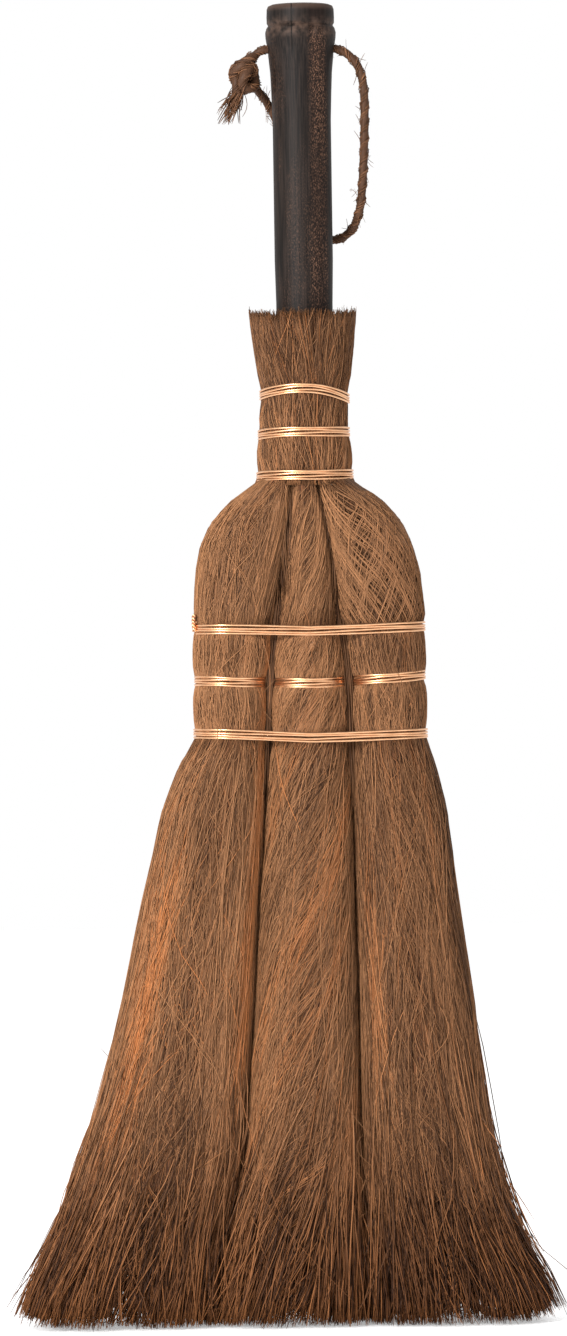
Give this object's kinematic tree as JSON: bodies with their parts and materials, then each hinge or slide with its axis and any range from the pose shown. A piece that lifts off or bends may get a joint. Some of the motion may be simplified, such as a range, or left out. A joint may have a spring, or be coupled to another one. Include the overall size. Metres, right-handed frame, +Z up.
{
  "type": "palm-fibre hand broom",
  "caption": "Hand broom: rolled palm-fibre bundles bound side by side with copper wire on a black bamboo handle, with a hanging cord that swings on the handle.",
  "frame": {"origin": "on the handle's axis, in the plane of the trimmed tips", "axes": "+Z up the handle from the sweeping edge, +X to the broom's right, +Y to its back"},
  "size_m": [0.196, 0.044, 0.481],
  "materials": {
    "black_bamboo": "smoked black bamboo, satin, with a fine brown mottle along the grain",
    "split_bamboo": "plain split bamboo",
    "core_fibre": "dark straight palm fibres, packed",
    "bark_fibre": "combed palm-bark fibres, medium brown with tan streaks",
    "copper_wire": "bright bare copper wire",
    "cord_fibre": "hand-twisted palm-fibre cord, fuzzy"
  },
  "bodies": {
    "broom": {"handle_culm": "black_bamboo", "neck_peg": "split_bamboo", "centre_peg": "split_bamboo", "skewer_upper": "split_bamboo", "skewer_lower": "split_bamboo", "left_core": "core_fibre", "centre_core": "core_fibre", "right_core": "core_fibre", "left_core_tie": "cord_fibre", "centre_core_tie": "cord_fibre", "right_core_tie": "cord_fibre", "left_bark": "bark_fibre", "centre_bark": "bark_fibre", "right_bark": "bark_fibre", "neck_bark": "bark_fibre", "neck_wire_upper": "copper_wire", "neck_wire_middle": "copper_wire", "neck_wire_lower": "copper_wire", "body_wire_upper": "copper_wire", "body_wire_lower": "copper_wire", "left_bundle_wire": "copper_wire", "centre_bundle_wire": "copper_wire", "right_bundle_wire": "copper_wire"},
    "hanging_loop": {"hanging_cord": "cord_fibre", "cord_knot": "cord_fibre", "cord_tails": "cord_fibre"}
  },
  "joints": [
    {"name": "loop_swing", "type": "hinge", "parent": "broom", "child": "hanging_loop", "pos_m": [0, 0, 0.465], "axis": [1, 0, 0], "range_deg": [0, 180]}
  ]
}
